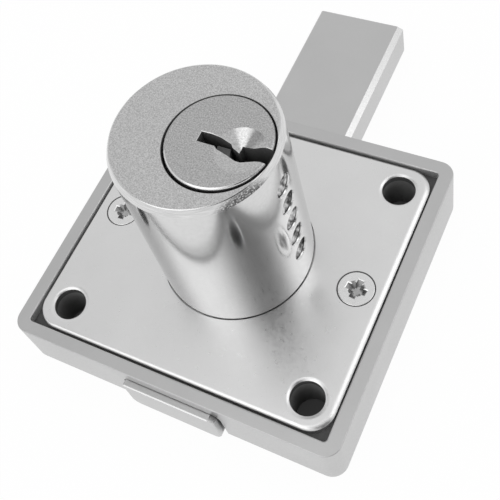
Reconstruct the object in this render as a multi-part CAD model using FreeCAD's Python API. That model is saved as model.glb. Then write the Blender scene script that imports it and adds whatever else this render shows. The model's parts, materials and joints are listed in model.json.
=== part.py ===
import FreeCAD, Part
import math
import os

# Drawer lock. A pin-tumbler plug, set off centre in a round barrel, turns a cam behind it, and the
# cam's stud slides a square-ended bolt in a die-cast case. Half a turn of the plug is one throw.
# Lengths are in millimetres and angles in degrees. The origin is on the barrel's axis, in the plane
# of the case's rim, which bears on the back of the drawer front. +Z runs along the barrel to the key
# side, and the bolt throws along +Y. The bolt is thrown, and every pin stack is at the shear line.

# Case
case_length = 50.6
case_width = 46.1
case_depth = 9.0
case_corner_radius = 2.3
rim_width = 2.05
seat_width = 1.9
barrel_offset = 0.8

# Cover plate
plate_thickness = 1.2
plate_sink = 0.2
plate_gap = 0.3
plate_corner_radius = 3.5
plate_edge_width = 0.4

# Mounting holes
mounting_inset_x = 6.5
mounting_inset_y = 6.4
mounting_hole_diameter = 4.75
countersink_diameter = 8.2

# Plate screws
plate_screw_inset = 6.4
screw_diameter = 3.0
screw_head_diameter = 5.4
screw_length = 6.0
cross_recess_width = 0.75
cross_recess_span = 3.2
cross_recess_depth = 0.9

# Barrel
barrel_diameter = 22.0
barrel_height = 28.6
barrel_edge_width = 0.45
barrel_edge_height = 1.0
flange_span = 25.0
flange_thickness = 0.9
barrel_end_wall = 1.2
root_undercut = 0.3

# Plug
plug_offset = 3.5
plug_diameter = 12.0
plug_head_diameter = 13.6
plug_head_thickness = 2.0
plug_head_proud = 0.15
plug_head_edge = 0.3
keyway_rear = 3.5
ward_depth = 1.0
guide_dimple_radius = 3.2
guide_dimple_depth = 0.9
guide_dimple_floor = 0.3
guide_dimple_x = 3.1
guide_dimple_y = -0.4

# Pin stacks
pin_pitch = 3.94
first_pin_depth = 6.0
chamber_diameter = 3.28
pin_clearance = 0.08
key_pin_lengths = [4.6, 3.9, 5.0, 4.2, 4.7]
key_pin_point_length = 0.9
driver_length = 3.4
plug_hole_past_axis = 0.6
drilling_floor = 0.5
spring_diameter = 2.7

# Cam and stud
throw = 10.0
half_turn = 180.0
cam_thickness = 1.8
cam_pocket_depth = 2.0
cam_diameter = 13.6
stud_diameter = 3.0
track_steps = 20
tongue_width = 3.0
tongue_length = 9.0
tongue_height = 1.0
stop_half_angle = 6.0
stop_clearance_angle = 1.0
stop_depth = 0.85
cam_screw_diameter = 2.5
cam_screw_head_diameter = 4.6
cam_screw_head_height = 1.1
cam_screw_length = 6.5
cam_screw_slot_width = 0.6
cam_screw_slot_depth = 0.7

# Bolt
bolt_width = 14.4
bolt_projection = 24.5
tail_projection = 1.0
bolt_top_gap = 0.15
bolt_side_gap = 0.3
bolt_bevel_width = 0.9
bolt_bevel_height = 0.45
bolt_bottom_radius = 1.2
wing_span = 22.0
wing_thickness = 2.2
wing_stop_gap = 0.3
rail_gap = 0.1
slot_floor = 1.5
stud_end_gap = 0.3
wall_slot_side_gap = 0.8
wall_slot_top_gap = 0.3
wall_slot_radius = 1.5

# Fits
running_gap = 0.05
press_gap = 0.02
shake_gap = 0.15
end_gap = 0.02

# Core pockets, which save metal in the casting on each side of the bolt's channel
pocket_floor = 2.0
pocket_wall = 1.2
pocket_end_wall = 2.7

# Places worked out from the sizes above
case_middle = -barrel_offset
case_back = -case_depth
recess_length = case_length - 2 * rim_width
recess_width = case_width - 2 * rim_width
cavity_length = recess_length - 2 * seat_width
cavity_width = recess_width - 2 * seat_width
mounting_spacing_x = case_length - 2 * mounting_inset_x
mounting_spacing_y = case_width - 2 * mounting_inset_y
plate_screw_spacing = case_length - 2 * plate_screw_inset
plate_top = -plate_sink
seat_z = plate_top - plate_thickness
bed_z = seat_z - flange_thickness
bolt_top = bed_z - bolt_top_gap
wing_bottom = bolt_top - wing_thickness
rail_z = wing_bottom - rail_gap
barrel_radius = barrel_diameter / 2
plug_radius = plug_diameter / 2
plug_head_radius = plug_head_diameter / 2
plug_bore_radius = plug_radius + running_gap
head_bore_radius = plug_head_radius + shake_gap
head_under = barrel_height - plug_head_thickness
plug_face = barrel_height + plug_head_proud
cam_radius = cam_diameter / 2
cam_pocket_radius = cam_radius + shake_gap
cam_pocket_top = bed_z + cam_pocket_depth
cam_top = cam_pocket_top - running_gap
cam_bottom = cam_top - cam_thickness
stud_radius = stud_diameter / 2
stud_swing = throw / 2
stud_end = case_back + slot_floor + stud_end_gap
chamber_radius = chamber_diameter / 2
pin_radius = chamber_radius - pin_clearance
shear_x = plug_offset - plug_radius
driver_face_x = plug_offset - plug_bore_radius - running_gap
chamber_end_x = barrel_end_wall - barrel_radius
screw_radius = screw_diameter / 2
countersink_depth = (countersink_diameter - mounting_hole_diameter) / 2
wing_front = cavity_width / 2 - wing_stop_gap
wing_back = throw + wing_stop_gap - cavity_width / 2
bolt_front = case_width / 2 + bolt_projection
bolt_tail = -case_width / 2 - tail_projection
overshoot = 1.0


def centred(span, middle=0.0):
    return (middle - span / 2, middle + span / 2)


def block(x, y, z):
    corner = FreeCAD.Vector(x[0], y[0], z[0])
    return Part.makeBox(x[1] - x[0], y[1] - y[0], z[1] - z[0], corner)


def edges_along(shape, direction):
    found = []
    for edge in shape.Edges:
        first, last = edge.Vertexes[0].Point, edge.Vertexes[-1].Point
        run = last - first
        if run.Length > 0 and abs(abs(run.normalize().dot(direction)) - 1) < 1e-6:
            found.append(edge)
    return found


def rounded_block(x, y, z, radius):
    plain = block(x, y, z)
    return plain.makeFillet(radius, edges_along(plain, FreeCAD.Vector(0, 0, 1)))


def turned(profile, x=0.0, y=0.0):
    """A body of revolution about the line (x, y), from (radius, z) points."""
    points = [FreeCAD.Vector(x + radius, y, z) for radius, z in profile]
    face = Part.Face(Part.makePolygon(points + points[:1]))
    return face.revolve(FreeCAD.Vector(x, y, 0), FreeCAD.Vector(0, 0, 1), 360)


def disc(x, y, z, radius):
    axis = FreeCAD.Vector(0, 0, 1)
    return Part.makeCylinder(radius, z[1] - z[0], FreeCAD.Vector(x, y, z[0]), axis)


def rod_along_x(x, z, radius):
    axis = FreeCAD.Vector(1, 0, 0)
    return Part.makeCylinder(radius, x[1] - x[0], FreeCAD.Vector(x[0], 0, z), axis)


def cone(x, y, z, radii):
    return turned([(0, z[0]), (radii[0], z[0]), (radii[1], z[1]), (0, z[1])], x, y)


def prism(outline, z):
    points = [FreeCAD.Vector(x, y, z[0]) for x, y in outline]
    face = Part.Face(Part.makePolygon(points + points[:1]))
    return face.extrude(FreeCAD.Vector(0, 0, z[1] - z[0]))


def lay_towards_minus_x(shape, x, z):
    """Turns a body built up along +Z from the origin so that it runs from x towards -X."""
    laid = shape.copy()
    laid.rotate(FreeCAD.Vector(0, 0, 0), FreeCAD.Vector(0, 1, 0), -90)
    laid.translate(FreeCAD.Vector(x, 0, z))
    return laid


def group(shapes):
    return Part.makeCompound(shapes)


def pin_heights():
    first = barrel_height - first_pin_depth
    return [first - number * pin_pitch for number in range(len(key_pin_lengths))]


def mounting_places():
    xs = centred(mounting_spacing_x, case_middle)
    ys = centred(mounting_spacing_y)
    return [(x, y) for x in xs for y in ys]


def plate_screw_places():
    return [(x, 0.0) for x in centred(plate_screw_spacing, case_middle)]


def screw_space(x, y, gap):
    """The room that one plate screw takes in the plate and the case."""
    head = screw_head_diameter / 2 + gap
    shank = screw_radius + gap
    end_z = plate_top - screw_length - gap
    return turned([(0, end_z), (shank, end_z), (shank, seat_z), (head, plate_top),
                   (head, plate_top + overshoot), (0, plate_top + overshoot)], x, y)


def core_pocket(side_x, side_y):
    """One cored pocket between the bolt's channel, a mounting hole and a plate screw's boss."""
    inner = flange_span / 2 + shake_gap + pocket_wall + barrel_offset
    outer = cavity_length / 2
    near = screw_radius + pocket_end_wall
    far = mounting_spacing_y / 2 - countersink_diameter / 2 - pocket_wall
    xs = sorted((case_middle + side_x * inner, case_middle + side_x * outer))
    ys = sorted((side_y * near, side_y * far))
    return block(xs, ys, (case_back + pocket_floor, seat_z))


def wall_slot():
    """The opening in both end walls that the bolt passes through, open at the case's back."""
    width = bolt_width + 2 * wall_slot_side_gap
    length = case_width + 2 * overshoot
    slot = block(centred(width), centred(length), (case_back - overshoot, bolt_top + wall_slot_top_gap))
    upper = [e for e in edges_along(slot, FreeCAD.Vector(0, 1, 0)) if e.CenterOfMass.z > case_back]
    return slot.makeFillet(wall_slot_radius, upper)


def make_case():
    body = rounded_block(centred(case_length, case_middle), centred(case_width),
                         (case_back, 0), case_corner_radius)
    recess = block(centred(recess_length, case_middle), centred(recess_width), (seat_z, overshoot))
    bed = block(centred(flange_span + 2 * shake_gap), centred(flange_span + 2 * shake_gap),
                (bed_z, 0))
    wing_pocket = block(centred(wing_span + 2 * bolt_side_gap), centred(cavity_width), (rail_z, 0))
    channel = block(centred(bolt_width + 2 * bolt_side_gap), centred(cavity_width),
                    (case_back - overshoot, rail_z))
    body = body.cut([recess, bed, wing_pocket, channel, wall_slot()])
    for side_x in (-1, 1):
        for side_y in (-1, 1):
            body = body.cut(core_pocket(side_x, side_y))
    for x, y in mounting_places():
        hole = disc(x, y, (case_back - overshoot, 0), mounting_hole_diameter / 2)
        sink = cone(x, y, (case_back, case_back + countersink_depth),
                    (countersink_diameter / 2, mounting_hole_diameter / 2))
        body = body.cut([hole, sink])
    for x, y in plate_screw_places():
        body = body.cut(screw_space(x, y, press_gap))
    return body


def make_cover_plate():
    plate = rounded_block(centred(recess_length - 2 * plate_gap, case_middle),
                          centred(recess_width - 2 * plate_gap), (seat_z, plate_top),
                          plate_corner_radius)
    upper = [e for e in plate.Edges if all(abs(v.Z - plate_top) < 1e-6 for v in e.Vertexes)]
    plate = plate.makeChamfer(plate_edge_width, upper)
    through = (seat_z - overshoot, plate_top + overshoot)
    plate = plate.cut(disc(0, 0, through, barrel_radius + shake_gap))
    for x, y in mounting_places():
        plate = plate.cut(disc(x, y, through, mounting_hole_diameter / 2))
    for x, y in plate_screw_places():
        plate = plate.cut(screw_space(x, y, press_gap))
    return plate


def make_plate_screws():
    screws = []
    for x, y in plate_screw_places():
        end_z = plate_top - screw_length
        screw = turned([(0, end_z), (screw_radius, end_z), (screw_radius, seat_z),
                        (screw_head_diameter / 2, plate_top), (0, plate_top)], x, y)
        recess_z = (plate_top - cross_recess_depth, plate_top)
        long_way = block(centred(cross_recess_span, x), centred(cross_recess_width, y), recess_z)
        short_way = block(centred(cross_recess_width, x), centred(cross_recess_span, y), recess_z)
        screws.append(screw.cut([long_way, short_way]))
    return group(screws)


def make_barrel():
    root_radius = barrel_radius - root_undercut
    body = turned([(0, bed_z), (root_radius, bed_z), (root_radius, plate_top),
                   (barrel_radius, plate_top), (barrel_radius, barrel_height - barrel_edge_height),
                   (barrel_radius - barrel_edge_width, barrel_height), (0, barrel_height)])
    flange = block(centred(flange_span), centred(flange_span), (bed_z, seat_z))
    body = body.fuse(flange)
    bore = disc(plug_offset, 0, (bed_z - overshoot, barrel_height + overshoot), plug_bore_radius)
    head_bore = disc(plug_offset, 0, (head_under - running_gap, barrel_height + overshoot),
                     head_bore_radius)
    cam_pocket = disc(plug_offset, 0, (bed_z - overshoot, cam_pocket_top), cam_pocket_radius)
    body = body.cut([bore, head_bore, cam_pocket.cut(stop_lug())])
    drilling_end = plug_offset + plug_bore_radius + drilling_floor
    for z in pin_heights():
        chamber = rod_along_x((chamber_end_x, plug_offset), z, chamber_radius)
        drilling = rod_along_x((drilling_end, barrel_radius + overshoot), z, chamber_radius)
        body = body.cut([chamber, drilling])
    return body


def sector(radius, z, first_angle, last_angle):
    """A pie slice about the plug's axis."""
    slice_ = Part.makeCylinder(radius, z[1] - z[0], FreeCAD.Vector(0, 0, z[0]),
                               FreeCAD.Vector(0, 0, 1), last_angle - first_angle)
    slice_.rotate(FreeCAD.Vector(0, 0, 0), FreeCAD.Vector(0, 0, 1), first_angle)
    slice_.translate(FreeCAD.Vector(plug_offset, 0, 0))
    return slice_


def stop_lug():
    """The lug on the cam pocket's wall that the cam's cut-away rim stops against."""
    inner = cam_radius - stop_depth + shake_gap
    wedge = sector(cam_pocket_radius + press_gap, (bed_z, cam_pocket_top),
                   -stop_half_angle, stop_half_angle)
    return wedge.cut(disc(plug_offset, 0, (bed_z - overshoot, cam_pocket_top + overshoot), inner))


def keyway_outline():
    """The keyway's section at the face, about the plug's axis, open at the plug's +X side."""
    open_end = plug_head_radius + overshoot
    upper = [(-2.55, 0.6), (-1.2, 0.65), (-0.2, 0.55), (0.85, 0.35), (1.5, 0.25), (1.8, -0.1),
             (2.75, -0.4), (2.85, 0.5), (4.35, 0.55), (5.3, 0.8), (6.0, 0.85)]
    lower = [(6.1, -1.15), (5.2, -1.2), (4.2, -1.45), (3.55, -1.7), (2.85, -1.7), (1.65, -1.35),
             (0.25, -1.15), (-0.1, -0.8), (-2.55, -0.8)]
    return upper + [(open_end, 0.7), (open_end, -1.3)] + lower


def ward_outline():
    """The rib on the keyway's lower side that a key must clear, about the plug's axis."""
    return [(0.0, -0.8), (1.7, -0.75), (1.9, -1.5), (0.2, -1.2)]


def make_plug():
    body = turned([(0, cam_top), (plug_radius, cam_top), (plug_radius, head_under),
                   (plug_head_radius, head_under), (plug_head_radius, plug_face - plug_head_edge),
                   (plug_head_radius - plug_head_edge, plug_face), (0, plug_face)], plug_offset, 0)
    keyway = prism(keyway_outline(), (keyway_rear, plug_face + overshoot))
    keyway = keyway.cut(prism(ward_outline(), (keyway_rear, plug_face - ward_depth)))
    keyway.translate(FreeCAD.Vector(plug_offset, 0, 0))
    dimple = cone(plug_offset + guide_dimple_x, guide_dimple_y,
                  (plug_face - guide_dimple_depth, plug_face),
                  (guide_dimple_floor, guide_dimple_radius))
    tongue_slot = block(centred(tongue_length + 2 * shake_gap, plug_offset),
                        centred(tongue_width + 2 * press_gap),
                        (cam_top - overshoot, cam_top + tongue_height + press_gap))
    screw_hole = disc(plug_offset, 0, (cam_top - overshoot, cam_bottom + cam_screw_length + end_gap),
                      cam_screw_diameter / 2 + press_gap)
    body = body.cut([keyway, dimple, tongue_slot, screw_hole])
    for z in pin_heights():
        hole_end = plug_offset + plug_hole_past_axis
        body = body.cut(rod_along_x((shear_x - overshoot, hole_end), z, chamber_radius))
    return body


def make_key_pin(number):
    """A pointed pin whose outer end is domed to the plug's round."""
    z = pin_heights()[number]
    length = key_pin_lengths[number]
    upright = turned([(0, 0), (pin_radius, key_pin_point_length), (pin_radius, length), (0, length)])
    pin = lay_towards_minus_x(upright, shear_x + length, z)
    plug_round = disc(plug_offset, 0, (z - chamber_diameter, z + chamber_diameter),
                      plug_radius - running_gap)
    return pin.common(plug_round)


def make_driver_pin(number):
    z = pin_heights()[number]
    return rod_along_x((driver_face_x - driver_length, driver_face_x), z, pin_radius)


def make_pin_spring(number):
    """A closed rod in the outer size of the wound spring behind a driver pin."""
    reach = (chamber_end_x + end_gap, driver_face_x - driver_length - end_gap)
    return rod_along_x(reach, pin_heights()[number], spring_diameter / 2)


def make_cam():
    body = disc(plug_offset, 0, (cam_bottom, cam_top), cam_radius)
    tongue = block(centred(tongue_length, plug_offset), centred(tongue_width),
                   (cam_top, cam_top + tongue_height))
    margin = stop_half_angle + stop_clearance_angle
    cut_away = sector(cam_radius + overshoot, (cam_bottom - overshoot, cam_top + overshoot),
                      -half_turn - margin, margin)
    kept = disc(plug_offset, 0, (cam_bottom - 2 * overshoot, cam_top + 2 * overshoot),
                cam_radius - stop_depth)
    body = body.cut(cut_away.cut(kept)).fuse(tongue)
    stud_hole = disc(plug_offset, stud_swing, (cam_bottom - overshoot, cam_top + overshoot),
                     stud_radius + press_gap)
    return body.cut([stud_hole, cam_screw_body(press_gap)])


def cam_screw_body(gap):
    shank = cam_screw_diameter / 2 + gap
    head = cam_screw_head_diameter / 2 + gap
    end_z = cam_bottom + cam_screw_length
    under_head = cam_bottom + cam_screw_head_height
    return turned([(0, cam_bottom), (head, cam_bottom), (head, under_head), (shank, under_head),
                   (shank, end_z), (0, end_z)], plug_offset, 0)


def make_cam_screw():
    slot = block(centred(cam_screw_head_diameter, plug_offset), centred(cam_screw_slot_width),
                 (cam_bottom, cam_bottom + cam_screw_slot_depth))
    return cam_screw_body(0).cut(slot)


def make_drive_pin():
    return disc(plug_offset, stud_swing, (stud_end, cam_top), stud_radius)


def stud_track():
    """The closed loop of the stud's axis in the bolt, where the bolt follows the plug evenly."""
    places = []
    for step in range(track_steps + 1):
        turn = math.radians(half_turn) * step / track_steps
        travel = throw * step / track_steps
        places.append((plug_offset - stud_swing * math.sin(turn),
                       stud_swing * math.cos(turn) + travel))
    return places + places[:1]


def stud_slot():
    """The blind cross slot that the stud works in, as wide as the stud's whole track in the bolt."""
    points = [FreeCAD.Vector(x, y, case_back + slot_floor) for x, y in stud_track()]
    track = Part.Face(Part.makePolygon(points))
    outline = track.makeOffset2D(stud_radius + running_gap)
    return outline.extrude(FreeCAD.Vector(0, 0, bolt_top + overshoot - case_back - slot_floor))


def bolt_bar():
    """The bar's bevelled section, drawn at the tail and run to the nose."""
    half = bolt_width / 2
    section = [(-half, case_back), (half, case_back), (half, bolt_top - bolt_bevel_height),
               (half - bolt_bevel_width, bolt_top), (bolt_bevel_width - half, bolt_top),
               (-half, bolt_top - bolt_bevel_height)]
    points = [FreeCAD.Vector(x, bolt_tail, z) for x, z in section]
    face = Part.Face(Part.makePolygon(points + points[:1]))
    bar = face.extrude(FreeCAD.Vector(0, bolt_front - bolt_tail, 0))
    lower = [e for e in edges_along(bar, FreeCAD.Vector(0, 1, 0))
             if abs(e.CenterOfMass.z - case_back) < 1e-6]
    return bar.makeFillet(bolt_bottom_radius, lower)


def make_bolt():
    wings = block(centred(wing_span), (wing_back, wing_front), (wing_bottom, bolt_top))
    return bolt_bar().fuse(wings).cut(stud_slot())


def all_parts():
    parts = {
        "case": make_case(),
        "cover_plate": make_cover_plate(),
        "plate_screws": make_plate_screws(),
        "barrel": make_barrel(),
        "plug": make_plug(),
        "cam": make_cam(),
        "cam_screw": make_cam_screw(),
        "drive_pin": make_drive_pin(),
        "bolt": make_bolt(),
    }
    for number in range(len(key_pin_lengths)):
        parts[f"key_pin_{number + 1}"] = make_key_pin(number)
        parts[f"driver_pin_{number + 1}"] = make_driver_pin(number)
        parts[f"pin_spring_{number + 1}"] = make_pin_spring(number)
    return parts


os.makedirs("parts", exist_ok=True)
for name, shape in all_parts().items():
    shape.exportStep(os.path.join("parts", name + ".step"))
    print(f"{name}: {len(shape.Solids)} solid, {shape.Volume:.1f} mm3, valid {shape.isValid()}")
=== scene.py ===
# %% [markdown]
# # A drawer lock, dressed around its CAD model
#
# The lock is a shallow die-cast case with a nickel cover plate, a polished round barrel that goes
# through the drawer front, a keyed plug set off centre in the barrel, and a square bar for a bolt.
# The packed CAD model is loaded first. It says where everything is, and every piece below is
# built around it in metres, in the same frame.

# %% Load the packed model
import json
import math

import bpy
from mathutils import Matrix, Vector


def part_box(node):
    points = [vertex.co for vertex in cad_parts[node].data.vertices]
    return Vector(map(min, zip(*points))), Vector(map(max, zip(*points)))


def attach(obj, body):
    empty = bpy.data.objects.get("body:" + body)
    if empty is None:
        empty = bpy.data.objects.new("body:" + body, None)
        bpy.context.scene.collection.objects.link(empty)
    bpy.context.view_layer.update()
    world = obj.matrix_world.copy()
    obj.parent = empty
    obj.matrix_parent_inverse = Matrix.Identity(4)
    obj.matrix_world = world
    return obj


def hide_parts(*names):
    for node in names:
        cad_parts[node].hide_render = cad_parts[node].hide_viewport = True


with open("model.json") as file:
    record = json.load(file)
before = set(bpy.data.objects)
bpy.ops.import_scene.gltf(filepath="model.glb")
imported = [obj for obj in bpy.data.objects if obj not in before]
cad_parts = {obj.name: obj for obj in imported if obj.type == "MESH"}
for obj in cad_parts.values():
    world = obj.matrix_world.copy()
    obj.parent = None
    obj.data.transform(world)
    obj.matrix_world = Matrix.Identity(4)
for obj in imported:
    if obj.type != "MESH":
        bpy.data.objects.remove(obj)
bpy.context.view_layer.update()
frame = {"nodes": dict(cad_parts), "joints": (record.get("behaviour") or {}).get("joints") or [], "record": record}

print("CAD nodes:", len(frame["nodes"]))

# %% [markdown]
# ## Sizes
#
# Lengths that the frame already knows are measured on it, so the pieces can't drift from the CAD
# model. The few that it can't tell, such as the width of a bevel, are real sizes in millimetres.
# One unit in Blender is a metre, so `mm` turns millimetres into Blender's units.

# %% Measure the frame
mm = 0.001
up = Vector((0, 0, 1))
along_x = Vector((1, 0, 0))

case_low, case_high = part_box("case")
plate_low, plate_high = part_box("cover_plate")
barrel_low, barrel_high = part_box("barrel")
plug_low, plug_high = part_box("plug")
bolt_low, bolt_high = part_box("bolt")
screws_low, screws_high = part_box("plate_screws")
stud_low, stud_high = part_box("drive_pin")
mounts = {mount["name"]: mount for mount in frame["record"]["mounts"]}
joints = {joint["name"]: joint for joint in frame["joints"]}

case_middle = (case_low.x + case_high.x) / 2
plug_axis = joints["plug_turn"]["pos_m"][0]
throw = -joints["bolt_slide"]["range_m"][0]
barrel_radius = mounts["barrel"]["dims"]["r_mm"] * mm
print("barrel radius and throw in mm:", round(barrel_radius / mm, 2), round(throw / mm, 2))

# %% [markdown]
# ## Helpers for materials
#
# Colours are written as the sRGB hex values that a colour picker shows. Blender's shaders work in
# linear light, so one function turns one into the other. A second small function adds a node,
# sets it and links it, which keeps each material below short enough to read.

# %% Colour and node helpers
# A Mix node has sockets A, B and Result for each kind of value. These are its colour ones.
MIX_DARK, MIX_LIGHT, MIX_RESULT = 6, 7, 2


def linear(hex_colour):
    parts = [int(hex_colour[i:i + 2], 16) / 255 for i in (1, 3, 5)]
    return [p / 12.92 if p <= 0.04045 else ((p + 0.055) / 1.055) ** 2.4 for p in parts] + [1.0]


def add(tree, kind, inputs=None, **settings):
    node = tree.nodes.new(kind)
    for name, value in settings.items():
        setattr(node, name, value)
    for socket, value in (inputs or {}).items():
        if isinstance(value, bpy.types.NodeSocket):
            tree.links.new(value, node.inputs[socket])
        else:
            node.inputs[socket].default_value = value
    return node


def new_material(name):
    """An empty material, its node tree, and the place on the piece in metres."""
    material = bpy.data.materials.new(name)
    material.use_nodes = True
    tree = material.node_tree
    tree.nodes.clear()
    return material, tree, add(tree, "ShaderNodeTexCoord").outputs["Object"]


print("nickel grey in linear light:", [round(v, 3) for v in linear("#C8C8C8")[:3]])

# %% [markdown]
# ## Metal finishes
#
# Everything on the lock is metal, so the finishes differ only in how the surface was made. Each
# has three parts: a base colour with a faint mottling, as plating is never quite even, a fine
# grain that tilts the surface a little and so spreads its reflections, and a roughness that wanders
# with the grain. A picture of worn metal could be laid on instead, but it would repeat, and would
# carry the light of the place where it was taken. So one function holds the recipe, and each finish
# gives it real sizes: lengths in millimetres and the depth of the grain in micrometres. `soft` says
# how softly the mottling's clouds run into each other: a small value makes them distinct specks.
#
# The first finish is the case's. It is zinc alloy, cast under pressure in a steel die and plated
# in a satin nickel, which shows as a soft, slightly cloudy grey with no direction.

# %% The recipe for a worked metal surface
def worked_metal(name, light, dark, roughness, grain_mm, depth_um, mottle_mm, stretch=(1, 1, 1),
                 soft=0.5):
    material, tree, place = new_material(name)
    grain_place = add(tree, "ShaderNodeMapping", {"Vector": place, "Scale": stretch})
    grain = add(tree, "ShaderNodeTexNoise", {
        "Vector": grain_place.outputs["Vector"], "Scale": 1 / (grain_mm * mm), "Detail": 3.0,
        "Roughness": 0.6})
    mottle = add(tree, "ShaderNodeTexNoise", {
        "Vector": place, "Scale": 1 / (mottle_mm * mm), "Detail": 4.0})
    cloud = add(tree, "ShaderNodeMapRange", {
        "Value": mottle.outputs["Fac"], "From Min": 0.5 - soft, "From Max": 0.5 + soft})
    colour = add(tree, "ShaderNodeMix", {
        "Factor": cloud.outputs["Result"], MIX_DARK: linear(dark), MIX_LIGHT: linear(light)},
        data_type="RGBA")
    spread = add(tree, "ShaderNodeMapRange", {
        "Value": grain.outputs["Fac"], "From Min": 0.3, "From Max": 0.7,
        "To Min": roughness * 0.85, "To Max": roughness * 1.15})
    bump = add(tree, "ShaderNodeBump", {
        "Height": grain.outputs["Fac"], "Strength": 1.0, "Distance": depth_um * 1e-6})
    shader = add(tree, "ShaderNodeBsdfPrincipled", {
        "Base Color": colour.outputs[MIX_RESULT], "Metallic": 1.0,
        "Roughness": spread.outputs["Result"], "Normal": bump.outputs["Normal"]})
    add(tree, "ShaderNodeOutputMaterial", {"Surface": shader.outputs["BSDF"]})
    return material


cast_zinc = worked_metal("satin_nickel_on_cast_zinc", "#C6C6C6", "#BABABA", 0.36, 0.35, 1.0, 9)
print(cast_zinc.name, "nodes:", len(cast_zinc.node_tree.nodes))

# %% [markdown]
# The barrel is turned and polished before plating, and mirrors what is near it. Polishing leaves
# lines round it that are only micrometres apart, far too fine to draw. The shader's anisotropy
# stands for them: it blurs a reflection more one way than the other, and the tangent turns that way
# round the barrel's axis. Polished nickel has a roughness of about 0.1.

# %% The recipe for a polished turned wall
def turned_metal(name, light, dark, roughness, one_way):
    material, tree, place = new_material(name)
    mottle = add(tree, "ShaderNodeTexNoise", {
        "Vector": place, "Scale": 1 / (0.5 * mm), "Detail": 4.0, "Roughness": 0.7})
    colour = add(tree, "ShaderNodeMix", {
        "Factor": mottle.outputs["Fac"], MIX_DARK: linear(dark), MIX_LIGHT: linear(light)},
        data_type="RGBA")
    bump = add(tree, "ShaderNodeBump", {
        "Height": mottle.outputs["Fac"], "Strength": 1.0, "Distance": 0.5e-6})
    round_axis = add(tree, "ShaderNodeTangent", direction_type="RADIAL", axis="Z")
    shader = add(tree, "ShaderNodeBsdfPrincipled", {
        "Base Color": colour.outputs[MIX_RESULT], "Metallic": 1.0, "Roughness": roughness,
        "Anisotropic": one_way, "Anisotropic Rotation": 0.25,
        "Tangent": round_axis.outputs["Tangent"], "Normal": bump.outputs["Normal"]})
    add(tree, "ShaderNodeOutputMaterial", {"Surface": shader.outputs["BSDF"]})
    return material


polished_nickel = turned_metal("polished_nickel_on_barrel", "#DCDCDC", "#CCCCCC", 0.12, 0.4)
print(polished_nickel.name, "nodes:", len(polished_nickel.node_tree.nodes))

# %% [markdown]
# The other surfaces that show are metal too, and each gets its own values in the first recipe.
# Bright plating has a roughness of 0.15 to 0.3, satin plating 0.3 to 0.4 and a raw casting 0.6 or
# more, and these were then matched to the lock. A metal keeps the shader's own IOR. The grinding
# belt's real scratches are about 0.05 mm apart, too fine to show, so the ground faces have a grain
# 0.2 mm across. The streaks in the countersink are drawn coarser than they are for the same
# reason. The bright and dark patches in the drillings are painted reflections.

# %% Finishes of the parts that show
# The casting's own skin, which no polishing mop reaches: chalky, with no highlight.
cast_wall = worked_metal("as_cast_zinc_wall", "#D0D0D0", "#B8B8B8", 0.75, 0.3, 8.0, 2)
# The bolt is cast and plated as the case is: the same soft grey. Its bevel is smoother, and a
# lighter nickel on it is a painted highlight.
bolt_zinc = worked_metal("satin_nickel_on_bolt_bar", "#CACACA", "#BEBEBE", 0.36, 0.3, 0.8, 12)
bevel_painted_highlight = worked_metal("bevel_nickel_with_painted_highlight", "#DADADA", "#CECECE", 0.3, 0.3, 0.8, 6)
# Nickel on bright sheet steel: paler and smoother, and it mirrors the barrel softly.
pressed_steel = worked_metal("nickel_on_pressed_steel", "#E4E4E4", "#DADADA", 0.32, 0.4, 0.8, 8)
# Ground faces: dense light and dark points. Every turn of a key makes the plug's duller.
ground_face = worked_metal(
    "ground_nickel_face", "#E6E6E6", "#969696", 0.36, 0.2, 2.0, 0.16, soft=0.32)
worn_face = worked_metal(
    "worn_nickel_on_brass", "#DADADA", "#828282", 0.34, 0.2, 2.0, 0.17, soft=0.32)
# A cone cut by a turning edge: bright, with short streaks.
countersunk = worked_metal(
    "countersunk_nickel", "#DADADA", "#A2A2A2", 0.17, 0.3, 0.5, 0.24, soft=0.35)
# Nickel in the drillings, with bright and dark patches side by side: painted reflections.
drilling_painted_reflections = worked_metal("painted_reflections_in_drilling", "#D2D2D2", "#424242", 0.24, 0.3, 4.0, 0.9, soft=0.12)
# A tumbled and plated screw head: clean and bright, with its recess in a darker nickel.
# The same bright nickel is a painted highlight on the plug's front edge, the drillings' rims and the bolt's tail
# edge.
screw_nickel_and_painted_highlight = worked_metal("nickel_on_screw_and_painted_highlights", "#EAEAEA", "#DADADA", 0.26, 0.25, 1.0, 2)
darker_recess = worked_metal("darker_screw_recess", "#C6C6C6", "#9A9A9A", 0.3, 0.2, 3.0, 0.5)
print("last finish:", darker_recess.name)

# %% [markdown]
# The barrel's narrow edge was turned last and left as the tool cut it, with fine lines round it and
# a patch of scuffs on the side that rubs the drawer front. The real lines are about 0.05 mm apart
# and are drawn at 0.14 mm so that they show. They have to run round the barrel, so the place is
# unrolled first: the angle round the axis times the radius is the length along the line, and the
# height is the length across it. The scuffs are the same lines made wider, and they show only where
# the place points near one direction.

# %% Finish of turned edges
line_width = 0.14 * mm
scuff_width = 0.16 * mm
scuff_side = (0.85, -0.527)         # the way the scuffs face, across the barrel


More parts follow.
